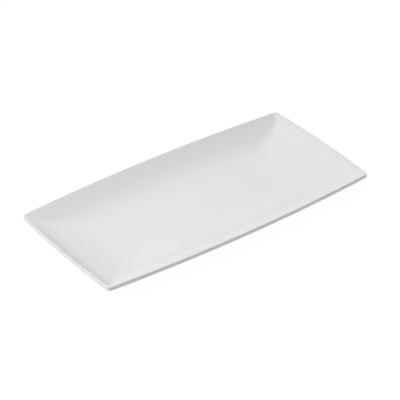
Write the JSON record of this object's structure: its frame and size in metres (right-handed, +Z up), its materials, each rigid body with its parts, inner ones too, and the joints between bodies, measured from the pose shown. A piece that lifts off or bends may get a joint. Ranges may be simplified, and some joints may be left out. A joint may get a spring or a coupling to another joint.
{
  "type": "serving platter",
  "caption": "Rectangular glazed white china serving platter with gently bowed sides, a shallow concave well with mitred corners, a square-edged rim and a low foot ring.",
  "frame": {"origin": "middle of the plane that the foot ring stands on", "axes": "+X along the platter's length, +Y across it, +Z up out of the well"},
  "size_m": [0.3556, 0.1778, 0.0245],
  "materials": {
    "fired_clay": "matt vitrified white porcelain body, hidden under the glaze",
    "bare_foot": "unglazed porcelain, ground flat and slightly rough",
    "white_glaze": "clear gloss glaze over neutral white porcelain, with a soft sheen"
  },
  "bodies": {
    "root": {"porcelain_body": "fired_clay", "foot_ring": "bare_foot", "glaze_coat": "white_glaze", "recess_glaze": "white_glaze"}
  },
  "joints": []
}
